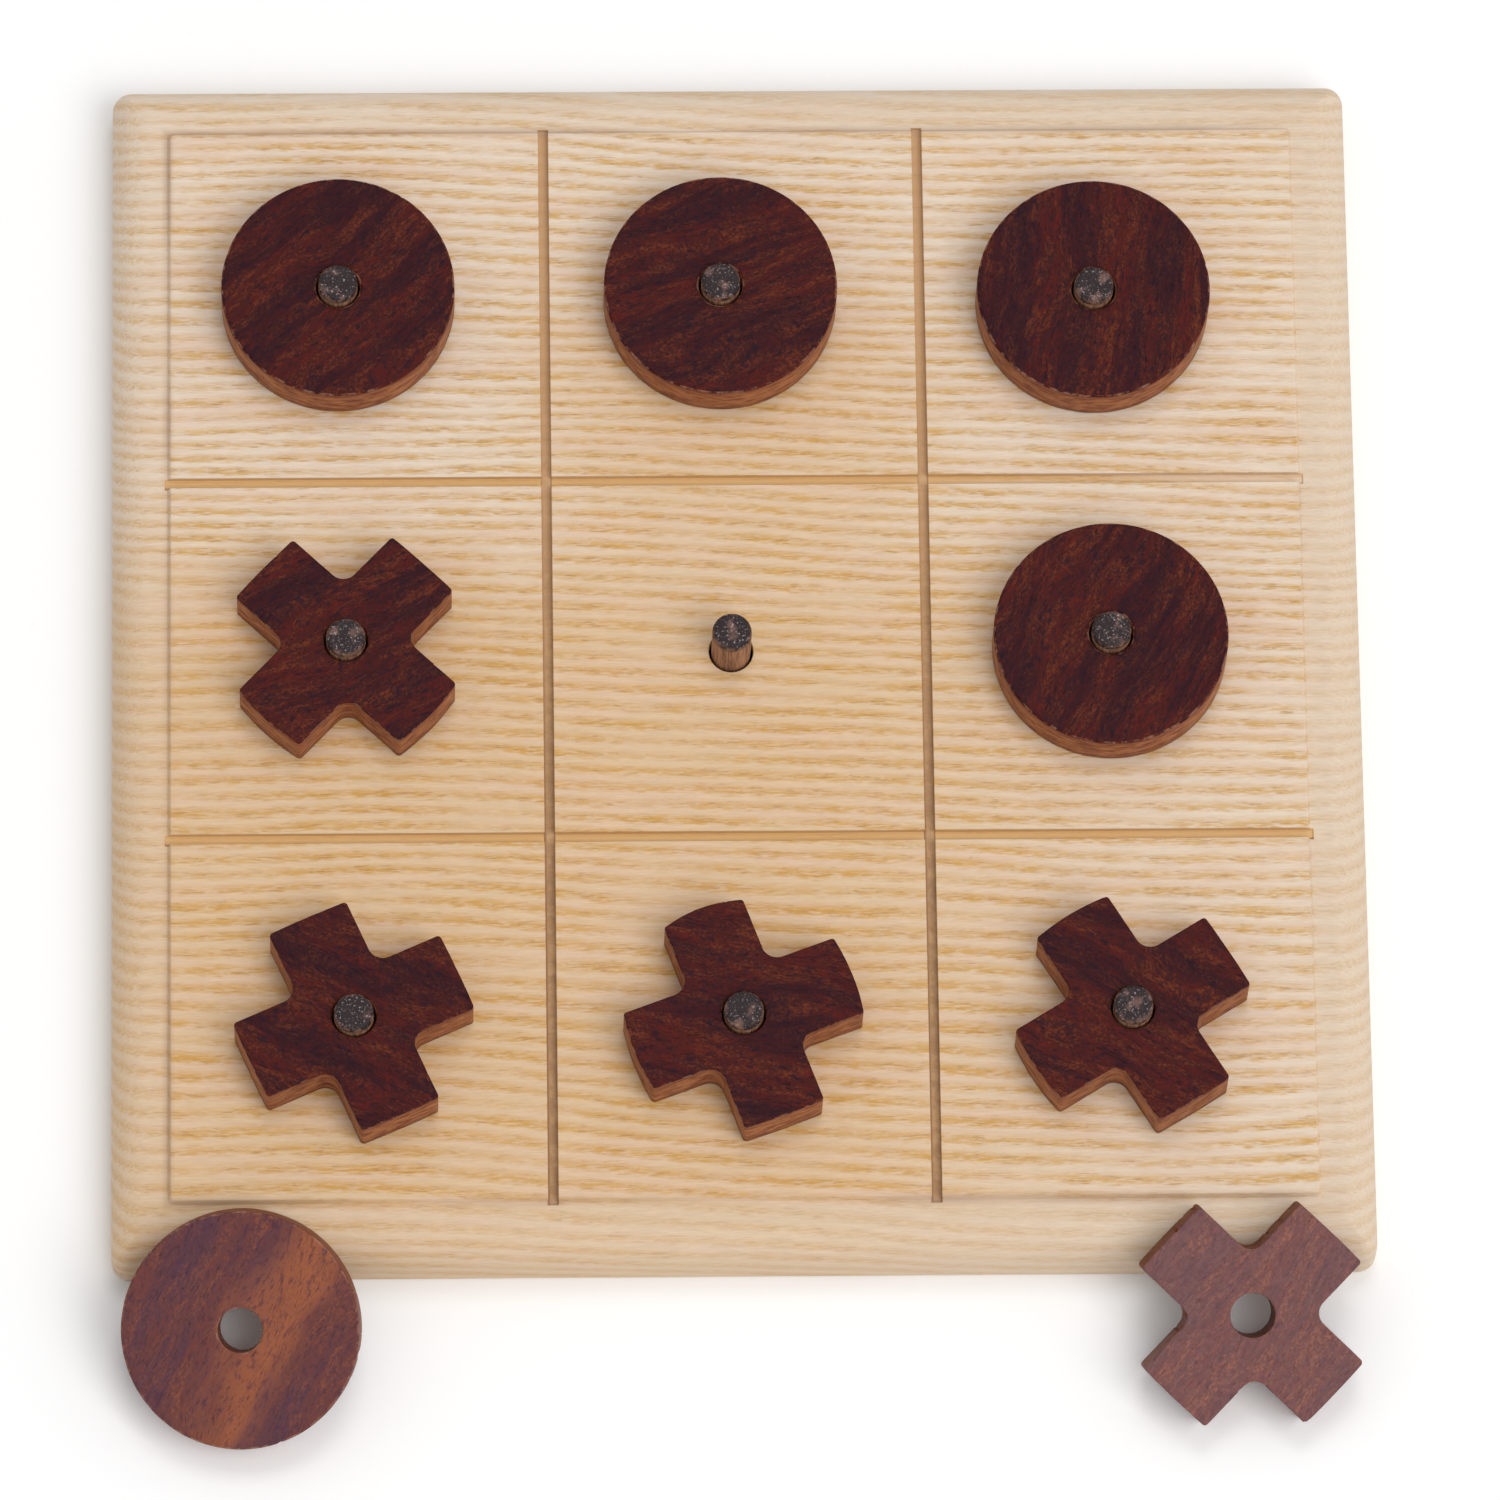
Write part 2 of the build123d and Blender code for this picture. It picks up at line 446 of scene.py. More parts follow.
    def saw_cuts(self, tree: Tree, colour: Socket, place: Socket, from_middle: Socket) -> Socket:
        """Darkens the floors of the saw cuts, and paints a shadow along the front side of each cut across.

        Args:
            tree: The material's tree.
            colour: The wood's colour so far.
            place: The point, in millimetres.
            from_middle: How far out the point is, the square way.

        Returns:
            The colour with its saw cuts.
        """
        x, y, z = tree.split(place)
        half = self.groove_half
        off_cuts = [tree.calc("SUBTRACT", tree.calc("ABSOLUTE", part), self.cell / 2) for part in (x, y)]
        near_up_down, near_across = [tree.span(tree.calc("ABSOLUTE", off), half + 0.25, half + 0.05)
                                     for off in off_cuts]
        within = tree.span(from_middle, self.field_half + 0.8, self.field_half + 0.6)
        sunk = tree.span(z, self.top - 0.1, self.top - 0.5)
        below = tree.times(sunk, tree.calc("MAXIMUM", near_up_down, near_across), within)

        # the cuts from back to front turn darker along their left side, in patches, and more so towards the
        # front
        towards_right = tree.times(off_cuts[0], tree.calc("SIGN", x))
        left_side = tree.span(towards_right, -half * 0.3, -half * 0.9)
        front = tree.span(y, 75.0, -50.0, 0.15, 1.0)
        grit = tree.span(tree.noise(place, self.grit), 0.35, 0.6, 0.15, 0.6)
        cut_darkening = tree.times(near_up_down, front, tree.calc("MAXIMUM", left_side, grit))
        floor = tree.blend(cut_darkening, self.cut_floor, self.cut_darker)

        # painted shadow along the front side of each cut across
        outwards = tree.times(off_cuts[1], tree.calc("SIGN", y))
        across = tree.blend(tree.span(outwards, -half * 0.45, -half * 0.8), self.cut_across, self.cut_painted_shadow)
        floor = tree.blend(tree.times(near_across, tree.calc("SUBTRACT", 1.0, near_up_down)), floor, across)
        at_right = tree.span(x, 25.0, 70.0, 0.0, 0.6)
        fresh = tree.times(at_right, tree.calc("GREATER_THAN", y, 10.0), near_across)
        return tree.blend(tree.times(below, tree.calc("SUBTRACT", 0.9, fresh)), colour, floor)

    def step_and_bores(self, tree: Tree, colour: Socket, place: Socket, from_middle: Socket) -> Socket:
        """Paints shade along the foot of the step round the field, on all but its right side, and inside the
        drilled holes.

        Args:
            tree: The material's tree.
            colour: The wood's colour so far.
            place: The point, in millimetres.
            from_middle: How far out the point is, the square way.

        Returns:
            The colour with its painted shade at the step and in the holes.
        """
        x, _, z = tree.split(place)
        # painted shade at the foot of the step, in patches, left off the right side where the light falls
        off_step = tree.calc("ABSOLUTE", tree.calc("SUBTRACT", from_middle, self.field_half + 0.2))
        wear_and_painted_shade_patches = tree.span(tree.noise(place, self.step_shade_patches), 0.35, 0.65, 0.1, 0.5)
        painted_shade_sides = tree.span(x, self.field_half - 4.0, self.field_half - 1.0, 1.0, 0.05)
        painted_step_shade = tree.times(tree.span(off_step, 1.3, 0.1), wear_and_painted_shade_patches, painted_shade_sides)
        colour = tree.blend(painted_step_shade, colour, self.painted_step_shade)
        # painted shade inside the peg holes, deeper than the saw cuts reach
        deep = tree.span(z, self.top - 1.7, self.top - 2.6)
        inside = tree.span(from_middle, self.field_half - 2.0, self.field_half - 3.0)
        return tree.blend(tree.times(deep, inside), colour, self.painted_hole_shade)


@dataclass(frozen=True)
class RosewoodFinish:
    """Rosewood with its grain along the blank's X, waxed on its faces and sawn on its walls.

    Every length is in millimetres.
    """

    name: str
    half_thickness: float       # of a token

    sway: Pattern = Pattern((0.04, 0.08, 0.08), seed=21.0)
    sway_by: float = 10.0       # how far the grain strays
    bands: Pattern = Pattern((0.03, 0.2, 0.2), seed=22.0, detail=3.0, rough=0.6)
    streaks: Pattern = Pattern((0.16, 0.8, 0.8), seed=23.0, detail=3.0, rough=0.65)
    mottle: Pattern = Pattern((2.2, 3.6, 3.6), seed=24.0, detail=1.0, rough=0.7)
    tint: Pattern = Pattern((0.12, 0.5, 0.5), seed=25.0)
    pores: Pattern = Pattern((0.6, 5.0, 5.0), seed=26.0, rough=0.6)
    blots: Pattern = Pattern((0.5, 1.3, 1.3), seed=20.0, detail=3.0, rough=0.7)
    dust: Pattern = Pattern((1.2, 1.2, 1.2), seed=27.0, detail=4.0, rough=0.75)
    heart_edge: Pattern = Pattern((0.05, 0.12, 0.12), seed=32.0)
    sawn: Pattern = Pattern((0.35, 0.35, 1.3), seed=28.0, detail=3.0, rough=0.6)
    # patches of wear and painted highlight along the rims
    rim_wear_and_painted_highlight: Pattern = Pattern((0.5, 0.5, 0.5), seed=29.0, detail=3.0, rough=0.7)
    lip_wear: Pattern = Pattern((0.6, 0.6, 0.6), seed=30.0, rough=0.6)

    night: tuple = srgb(43, 20, 28)         # the near-black bands
    wine: tuple = srgb(69, 27, 25)          # the body of the wood
    red: tuple = srgb(108, 30, 23)
    ember: tuple = srgb(132, 66, 34)        # the bright streaks
    ink: tuple = srgb(34, 20, 32)           # the small dark blots
    pit: tuple = srgb(26, 12, 16)
    wall: tuple = srgb(172, 114, 76)
    wall_dark: tuple = srgb(116, 62, 46)
    # paler colour of wear; along the rims it is also a painted highlight
    wear_and_painted_highlight: tuple = srgb(176, 130, 106)
    glow: float = 0.55          # how strong the bright streaks are
    blotted: float = 0.75       # how dark the small blots are
    heart_at: float = 0.0       # across the grain, where a pale band of heart runs
    heart_half: float = 0.0     # half its width; none if 0
    heart: tuple = srgb(152, 88, 58)
    dusty: float = 0.0          # how much dull bloom lies on the faces
    bloom: tuple = srgb(132, 96, 94)
    gloss: Gloss = Gloss(rough=0.42, rough_swing=0.1, specular=0.05, bump_height=0.00006)

    def material(self) -> bpy.types.Material:
        """Makes a token's material.

        Returns:
            The material. It reads the attributes that the wear rule stores.
        """
        material, tree = new_material(self.name)
        place = tree.in_mm(tree.add("ShaderNodeAttribute", attribute_name=BLANK_PLACE).outputs["Vector"])
        stray = tree.times(tree.swing(place, self.sway), self.sway_by)
        swayed = tree.vector("ADD", place, tree.join(0.0, stray, 0.0))
        streaks, mottle = tree.noise(swayed, self.streaks), tree.noise(swayed, self.mottle)
        grained = tree.calc("ADD", tree.times(streaks, 0.42), tree.times(mottle, 0.58))

        dark = tree.span(tree.noise(swayed, self.bands), 0.58, 0.38, 0.0, 0.8)
        colour = tree.blend(dark, self.wine, self.night)
        lit = tree.times(tree.span(grained, 0.44, 0.66, 0.0, self.glow), tree.span(dark, 0.0, 1.0, 1.0, 0.35))
        bright = tree.blend(tree.span(tree.noise(swayed, self.tint), 0.42, 0.58), self.red, self.ember)
        colour = tree.blend(lit, colour, bright)
        if self.heart_half:
            colour = self.add_heart(tree, colour, swayed, grained)
        blots = tree.span(tree.noise(swayed, self.blots), 0.5, 0.66, 0.0, self.blotted)
        colour = tree.blend(blots, colour, self.ink)
        pitted = tree.span(tree.noise(swayed, self.pores), 0.42, 0.3, 0.0, 0.5)
        colour = tree.blend(pitted, colour, self.pit)
        dust = tree.span(tree.noise(place, self.dust), 0.4, 0.64, 0.55, 1.0)
        colour = tree.blend(tree.times(dust, self.dusty), colour, self.bloom)

        colour = self.add_walls(tree, colour, place)
        height = tree.calc("SUBTRACT", tree.times(mottle, 0.4), tree.times(pitted, 0.9))
        self.gloss.shade(tree, colour, height, tree.calc("SUBTRACT", 1.0, mottle))
        return material

    def add_heart(self, tree: Tree, colour: Socket, place: Socket, grained: Socket) -> Socket:
        """Adds a pale band of heart that follows the grain.

        Args:
            tree: The material's tree.
            colour: The wood's colour so far.
            place: The point in the blank, in millimetres.
            grained: The wood's streaks and mottling.

        Returns:
            The colour with its heart.
        """
        off_line = tree.calc("ABSOLUTE", tree.calc("SUBTRACT", tree.split(place)[1], self.heart_at))
        ragged = tree.calc("MULTIPLY_ADD", tree.calc("SUBTRACT", grained, 0.5), 14.0, off_line)
        ragged = tree.calc("MULTIPLY_ADD", tree.swing(place, self.heart_edge), 18.0, ragged)
        core = tree.span(ragged, self.heart_half * 2.0, self.heart_half * 0.2)
        spread = tree.span(grained, 0.3, 0.6, 0.5, 1.0)
        return tree.blend(tree.times(core, spread), colour, self.heart)

    def add_walls(self, tree: Tree, colour: Socket, place: Socket) -> Socket:
        """Adds the paler sawn walls, the wear and painted highlight along the rims, and the wear round the
        hole.

        Args:
            tree: The material's tree.
            colour: The faces' colour.
            place: The point in the blank, in millimetres.

        Returns:
            The colour with its walls and rims.
        """
        high = tree.calc("ABSOLUTE", tree.split(place)[2])
        half = self.half_thickness
        mouth = tree.add("ShaderNodeAttribute", attribute_name=HOLE_MOUTH).outputs["Fac"]
        on_wall = tree.times(tree.span(high, half - 0.15, half - 0.55), tree.calc("SUBTRACT", 1.0, mouth))
        wall = tree.blend(tree.span(tree.noise(place, self.sawn), 0.35, 0.68), self.wall, self.wall_dark)
        wall = tree.blend(tree.span(high, 1.4, half - 0.4, 0.0, 0.5), wall, self.wall_dark)
        colour = tree.blend(on_wall, colour, wall)
        # the rims are paler in patches: partly wear, partly a painted highlight
        rim = tree.times(tree.span(high, half - 0.01, half - 0.1), tree.span(high, half - 0.5, half - 0.2))
        wear_and_painted_highlight = tree.span(tree.noise(place, self.rim_wear_and_painted_highlight), 0.46, 0.64, 0.0, 0.5)
        colour = tree.blend(tree.times(rim, wear_and_painted_highlight), colour, self.wear_and_painted_highlight)
        lip = tree.times(mouth, tree.span(high, half - 0.1, half - 0.25))
        wear_and_painted_shade_patches = tree.span(tree.noise(place, self.lip_wear), 0.38, 0.62, 0.15, 0.6)
        return tree.blend(tree.times(lip, wear_and_painted_shade_patches), colour, self.wear_and_painted_highlight)


@dataclass(frozen=True)
class PegFinish:
    """Dowel stained dark, with a head that was sanded back and holds pale dust."""

    head_height: float          # millimetres, of the heads' tops
    stain_depth: float = 1.7    # millimetres, how far down from the head the stain reaches
    stain_fade: float = 0.6     # millimetres, over which it fades
    grain: Pattern = Pattern((2.4, 2.4, 0.12), seed=41.0, detail=3.0, rough=0.6)
    scrub: Pattern = Pattern((2.6, 2.6, 2.6), seed=42.0, detail=3.0, rough=0.7)
    patch: Pattern = Pattern((0.4, 0.4, 0.4), seed=43.0)
    edge_wear: Pattern = Pattern((0.7, 0.7, 0.7), seed=44.0, rough=0.6)
    char: tuple = srgb(46, 36, 38)
    dust: tuple = srgb(186, 174, 170)
    flush: tuple = srgb(122, 90, 82)
    copper: tuple = srgb(136, 98, 76)
    shank: tuple = srgb(170, 126, 96)
    shank_dark: tuple = srgb(108, 72, 56)
    gloss: Gloss = Gloss(rough=0.6, rough_swing=0.12, specular=0.2, bump_height=0.0001)

    def material(self) -> bpy.types.Material:
        """Makes the pegs' material.

        Returns:
            The material.
        """
        material, tree = new_material("peg_wood")
        place = tree.in_mm(tree.add("ShaderNodeTexCoord").outputs["Object"])
        height = tree.split(place)[2]
        shank = tree.blend(tree.span(tree.noise(place, self.grain), 0.35, 0.68), self.shank, self.shank_dark)

        scrub, patch = tree.noise(place, self.scrub), tree.noise(place, self.patch)
        head = tree.blend(tree.span(patch, 0.5, 0.68, 0.0, 0.75), self.char, self.flush)
        dusted = tree.times(tree.span(scrub, 0.56, 0.68), tree.span(patch, 0.3, 0.6, 0.35, 0.9))
        head = tree.blend(dusted, head, self.dust)
        edge = tree.span(height, self.head_height - 0.1, self.head_height - 0.6)
        wear_and_painted_shade_patches = tree.span(tree.noise(place, self.edge_wear), 0.42, 0.6, 0.0, 0.8)
        head = tree.blend(tree.times(edge, wear_and_painted_shade_patches), head, self.copper)

        ragged = tree.calc("MULTIPLY_ADD", tree.calc("SUBTRACT", scrub, 0.5), 1.6, height)
        stain_end = self.head_height - self.stain_depth
        colour = tree.blend(tree.span(ragged, stain_end, stain_end + self.stain_fade), shank, head)
        self.gloss.shade(tree, colour, scrub, scrub)
        return material


@dataclass(frozen=True)
class FloorFinish:
    """Plain pale paper."""

    pale: tuple = srgb(250, 250, 250)
    shaded: tuple = srgb(236, 236, 236)
    tooth: Pattern = Pattern((0.6, 0.6, 0.6), seed=31.0)
    gloss: Gloss = Gloss(rough=0.9, rough_swing=0.02, specular=0.1, bump_height=0.00002)

    def material(self) -> bpy.types.Material:
        """Makes the floor's material.

        Returns:
            The material.
        """
        material, tree = new_material("paper")
        place = tree.in_mm(tree.add("ShaderNodeTexCoord").outputs["Object"])
        tooth = tree.noise(place, self.tooth)
        colour = tree.blend(tree.span(tooth, 0.3, 0.7, 0.0, 0.03), self.pale, self.shaded)
        self.gloss.shade(tree, colour, tooth, tooth)
        return material


# ---------------------------------------------------------------------------------------------
# Geometry Nodes
# ---------------------------------------------------------------------------------------------


class Kind(Enum):
    """The kinds of input that a geometry tree takes."""

    LENGTH = "NodeSocketFloat"
    COUNT = "NodeSocketInt"
    PLACE = "NodeSocketVector"
    FINISH = "NodeSocketMaterial"


class Rule(Tree):
    """A geometry tree with named inputs that turns a piece's sketch into its body."""

    def __init__(self, name: str, inputs: Mapping[str, Kind]) -> None:
        """Makes the tree with its inputs.

        Args:
            name: The tree's name.
            inputs: Each input's name and kind.
        """
        super().__init__(bpy.data.node_groups.new(name, "GeometryNodeTree"))
        self.nodes.interface.new_socket("Sketch", in_out="INPUT", socket_type="NodeSocketGeometry")
        for label, kind in inputs.items():
            self.nodes.interface.new_socket(label, in_out="INPUT", socket_type=kind.value)
        self.nodes.interface.new_socket("Body", in_out="OUTPUT", socket_type="NodeSocketGeometry")
        self.given = self.add("NodeGroupInput").outputs

    def moved(self, body: Feed, offset: Feed) -> Socket:
        """A body with its points moved."""
        return self.add("GeometryNodeSetPosition", {"Geometry": body, "Offset": offset}).outputs[0]

    def joined(self, *parts: Socket) -> Socket:
        """Several bodies as one, with their touching points still apart."""
        node = self.add("GeometryNodeJoinGeometry")
        for part in parts:
            self.feed(node.inputs[0], part)
        return node.outputs[0]

    def welded(self, body: Socket) -> Socket:
        """A body with its touching points merged."""
        return self.add("GeometryNodeMergeByDistance", {"Geometry": body, "Distance": WELD}).outputs[0]

    def realized(self, body: Socket) -> Socket:
        """A body with its instances made real."""
        return self.add("GeometryNodeRealizeInstances", {0: body}).outputs[0]

    def roughness(self, place: Socket, scale: Number, detail: Number, rough: Number = 0.5) -> Socket:
        """A soft random value over space, picked by the rule's seed.

        Args:
            place: The point, in metres.
            scale: How many changes in a millimetre.
            detail: How many finer layers are added.
            rough: How strong each finer layer is.

        Returns:
            The value's socket, about 0.5 on average.
        """
        feeds = {"Vector": self.in_mm(place), "W": self.given["Seed"], "Scale": scale, "Detail": detail,
                 "Roughness": rough}
        return self.add("ShaderNodeTexNoise", feeds, noise_dimensions="4D").outputs[0]

    def end(self, body: Socket) -> None:
        """Realizes what was instanced, dresses it and closes the tree.

        Args:
            body: The geometry so far.
        """
        feeds = {"Geometry": self.realized(body), "Material": self.given["Finish"]}
        self.add("NodeGroupOutput", {0: self.add("GeometryNodeSetMaterial", feeds).outputs[0]})

    def use(self, piece: bpy.types.Object, values: Mapping[str, Any]) -> None:
        """Puts the tree on a piece as a modifier.

        Args:
            piece: The object that holds the sketch.
            values: Each input's name and value.
        """
        modifier = piece.modifiers.new(self.nodes.name, "NODES")
        modifier.node_group = self.nodes
        sockets = {item.name: item.identifier for item in self.nodes.interface.items_tree
                   if item.item_type == "SOCKET" and item.in_out == "INPUT"}
        for label, value in values.items():
            modifier[sockets[label]] = value


def plate_rule() -> Rule:
    """The rule for a token: its outline and bore are filled, and the sheet is thickened.

    Returns:
        The rule, to be used on a closed ring of points round the bore.
    """
    rule = Rule("cut_plate", {"Thickness": Kind.LENGTH, "Bore Radius": Kind.LENGTH, "Step": Kind.LENGTH,
                              "Wobble": Kind.LENGTH, "Seed": Kind.LENGTH, "Finish": Kind.FINISH})
    given = rule.given
    outline = rule.add("GeometryNodeMeshToCurve", {"Mesh": given["Sketch"]}).outputs[0]
    feeds = {"Curve": outline, "Length": given["Step"]}
    outline = rule.add("GeometryNodeResampleCurve", feeds, mode="LENGTH").outputs[0]
    place = rule.add("GeometryNodeInputPosition").outputs[0]
    reach = rule.times(rule.calc("SUBTRACT", rule.roughness(place, 0.22, 3.0), 0.5), given["Wobble"])
    outwards = rule.vector("NORMALIZE", place)
    outline = rule.moved(outline, rule.vector("MULTIPLY", outwards, rule.all_ways(reach)))
    feeds = {"Resolution": BORE_SIDES, "Radius": given["Bore Radius"]}
    bore = rule.add("GeometryNodeCurvePrimitiveCircle", feeds).outputs[0]
    sheet = rule.add("GeometryNodeFillCurve", {"Curve": rule.joined(bore, outline)}, mode="NGONS").outputs[0]
    under = rule.moved(sheet, rule.join(z=rule.times(given["Thickness"], -0.5)))
    lift = rule.join(z=given["Thickness"])
    feeds = {"Mesh": under, "Offset": lift, "Offset Scale": 1.0, "Individual": False}
    raised = rule.add("GeometryNodeExtrudeMesh", feeds).outputs[0]
    flipped = rule.add("GeometryNodeFlipFaces", {"Mesh": under}).outputs[0]
    rule.end(rule.welded(rule.joined(raised, flipped)))
    return rule


def wear_rule() -> Rule:
    """The rule for wear: small chips along a token's rims, and each point's place in its blank.

    Returns:
        The rule, to be used on a whole token that lies flat about its own middle.
    """
    rule = Rule("wear_rims", {"Half Thickness": Kind.LENGTH, "Chip Depth": Kind.LENGTH, "Seed": Kind.LENGTH,
                              "Bore Radius": Kind.LENGTH, "Grain Turn": Kind.LENGTH, "Cut From": Kind.PLACE,
                              "Finish": Kind.FINISH})
    given = rule.given
    place = rule.add("GeometryNodeInputPosition").outputs[0]
    normal = rule.add("GeometryNodeInputNormal").outputs[0]
    x, y, z = rule.split(place)
    chipped = rule.span(rule.roughness(place, 0.55, 2.0, 0.6), 0.6, 0.72)
    below_face = rule.calc("SUBTRACT", given["Half Thickness"], rule.calc("ABSOLUTE", z))
    off_face = rule.span(below_face, 0.01 * MM, 0.08 * MM)
    from_axis = rule.add("ShaderNodeVectorMath", {0: rule.join(x, y)}, operation="LENGTH").outputs["Value"]
    from_bore = rule.calc("SUBTRACT", from_axis, given["Bore Radius"])
    outside = rule.calc("GREATER_THAN", from_bore, CHIPS_OFF_BORE)
    depth = rule.times(chipped, off_face, outside, given["Chip Depth"], -1.0)
    body = rule.moved(given["Sketch"], rule.vector("MULTIPLY", normal, rule.all_ways(depth)))

    feeds = {"Vector": place, "Angle": given["Grain Turn"]}
    turned = rule.add("ShaderNodeVectorRotate", feeds, rotation_type="Z_AXIS").outputs[0]
    in_blank = rule.vector("ADD", turned, given["Cut From"])
    slanted = rule.calc("LESS_THAN", rule.calc("ABSOLUTE", rule.split(normal)[2]), LEVEL)
    shallow = rule.calc("LESS_THAN", below_face, MOUTH_DEPTH)
    near_bore = rule.calc("LESS_THAN", from_bore, MOUTH_REACH)
    at_mouth = rule.times(slanted, shallow, near_bore)
    for name, kind, domain, value in ((BLANK_PLACE, "FLOAT_VECTOR", "POINT", in_blank),
                                      (HOLE_MOUTH, "FLOAT", "FACE", at_mouth)):
        feeds = {"Geometry": body, "Name": name, "Value": value}
        body = rule.add("GeometryNodeStoreNamedAttribute", feeds, data_type=kind, domain=domain).outputs[0]
    rule.end(body)
    return rule


def peg_rule() -> Rule:
    """The rule for the pegs: one dowel swept up its axis, and set at every point of the sketch.

    Returns:
        The rule, to be used on loose points at the board's top.
    """
    rule = Rule("set_pegs", {"Radius": Kind.LENGTH, "Foot Radius": Kind.LENGTH, "Stand": Kind.LENGTH,
                             "Tenon": Kind.LENGTH, "Seed": Kind.COUNT, "Finish": Kind.FINISH})
    given = rule.given
    foot = rule.join(z=rule.times(given["Tenon"], -1.0))
    level = rule.join()
    head = rule.join(z=given["Stand"])
    ring = rule.add("GeometryNodeCurvePrimitiveCircle", {"Resolution": DOWEL_SIDES, "Radius": 1.0}).outputs[0]
    parts = []
    for start, end in ((foot, level), (level, head)):
        run = rule.add("GeometryNodeCurvePrimitiveLine", {"Start": start, "End": end}).outputs[0]
        height = rule.split(rule.add("GeometryNodeInputPosition").outputs[0])[2]
        feeds = {"Value": rule.times(height, -1.0), "From Min": 0.0, "From Max": given["Tenon"],
                 "To Min": given["Radius"], "To Max": given["Foot Radius"]}
        radius = rule.add("ShaderNodeMapRange", feeds).outputs[0]
        run = rule.add("GeometryNodeSetCurveRadius", {"Curve": run, "Radius": radius}).outputs[0]
        scale = rule.add("GeometryNodeInputRadius").outputs[0]
        feeds = {"Curve": run, "Profile Curve": ring, "Scale": scale}
        parts.append(rule.add("GeometryNodeCurveToMesh", feeds).outputs[0])
    for centre, radius in ((foot, given["Foot Radius"]), (head, given["Radius"])):
        feeds = {"Vertices": DOWEL_SIDES, "Radius": radius}
        disc = rule.add("GeometryNodeMeshCircle", feeds, fill_type="NGON").outputs[0]
        parts.append(rule.moved(disc, centre))
    dowel = rule.welded(rule.joined(*parts))
    spin = rule.add("FunctionNodeRandomValue", {"Seed": given["Seed"], 3: math.tau}, data_type="FLOAT")
    feeds = {"Points": given["Sketch"], "Instance": dowel, "Rotation": rule.join(z=spin.outputs[1])}
    rule.end(rule.add("GeometryNodeInstanceOnPoints", feeds).outputs[0])
    return rule


def cut_rule() -> Rule:
    """The rule for the board: saw cuts each way and a hole at every loose point, out of the slab.

    Returns:
        The rule, to be used on a closed slab and loose points at its top.
    """
    rule = Rule("cut_board", {"Groove Width": Kind.LENGTH, "Groove Length": Kind.LENGTH,
                              "Depth Up Down": Kind.LENGTH, "Depth Across": Kind.LENGTH, "Cell": Kind.LENGTH,
                              "Cuts": Kind.COUNT, "Top": Kind.LENGTH, "Hole Radius": Kind.LENGTH,
                              "Hole Depth": Kind.LENGTH, "Finish": Kind.FINISH})
    given = rule.given
    faces_met = rule.add("GeometryNodeInputMeshVertexNeighbors").outputs["Face Count"]
    in_slab = rule.add("FunctionNodeCompare", {2: faces_met, 3: 0}, data_type="INT", operation="GREATER_THAN")
    feeds = {"Geometry": given["Sketch"], "Selection": in_slab.outputs[0]}
    slab, centres = rule.add("GeometryNodeSeparateGeometry", feeds).outputs[0:2]
    cutter = rule.add("GeometryNodeMeshBoolean", {0: slab}, operation="DIFFERENCE", solver="EXACT")

    half_run = rule.times(given["Cell"], rule.calc("SUBTRACT", given["Cuts"], 1.0), -0.5)
    width, length = given["Groove Width"], given["Groove Length"]
    tools = []
    for across, depth in ((False, given["Depth Up Down"]), (True, given["Depth Across"])):
        first = rule.join(0.0, half_run, given["Top"]) if across else rule.join(half_run, 0.0, given["Top"])
        step = rule.join(y=given["Cell"]) if across else rule.join(x=given["Cell"])
        feeds = {"Count": given["Cuts"], "Start Location": first, "Offset": step}
        line = rule.add("GeometryNodeMeshLine", feeds).outputs[0]
        height = rule.times(depth, 2.0)
        size = rule.join(length, width, height) if across else rule.join(width, length, height)
        tools.append((line, rule.add("GeometryNodeMeshCube", {"Size": size}).outputs[0]))
    feeds = {"Vertices": DRILL_SIDES, "Radius": given["Hole Radius"],
             "Depth": rule.times(given["Hole Depth"], 2.0)}
    tools.append((centres, rule.add("GeometryNodeMeshCylinder", feeds).outputs[0]))
    for points, tool in tools:
        placed = rule.add("GeometryNodeInstanceOnPoints", {"Points": points, "Instance": tool}).outputs[0]
        rule.feed(cutter.inputs[1], rule.realized(placed))
    rule.end(cutter.outputs[0])
    return rule


# ---------------------------------------------------------------------------------------------
# Meshes
# ---------------------------------------------------------------------------------------------


def sketch(name: str, points: Sequence[Vector], edges: Sequence[tuple[int, int]] = (),
           faces: Sequence[Sequence[int]] = ()) -> bpy.types.Object:
    """An object from plain points, edges and faces.

    Args:
        name: The object's name.
        points: Its vertices.
        edges: Its loose edges.
        faces: Its faces.

    Returns:
        The new object, linked to the scene.
    """
    mesh = bpy.data.meshes.new(name)
    mesh.from_pydata([tuple(point) for point in points], list(edges), [list(face) for face in faces])
    mesh.update()
    made = bpy.data.objects.new(name, mesh)
    bpy.context.scene.collection.objects.link(made)
    return made


def ease_edges(piece: bpy.types.Object, width: float, segments: int, sharper_than: float) -> None:
    """Rounds the sharp edges of a piece with a bevel.

    Args:
        piece: The object.
        width: The bevel's width.
        segments: How many strips it has.
        sharper_than: The least angle of an edge that is rounded.
    """
    bevel = piece.modifiers.new("ease", "BEVEL")
    bevel.width = width
    bevel.segments = segments
    bevel.limit_method = "ANGLE"
    bevel.angle_limit = sharper_than
    bevel.use_clamp_overlap = True
    bevel.miter_outer = "MITER_ARC"


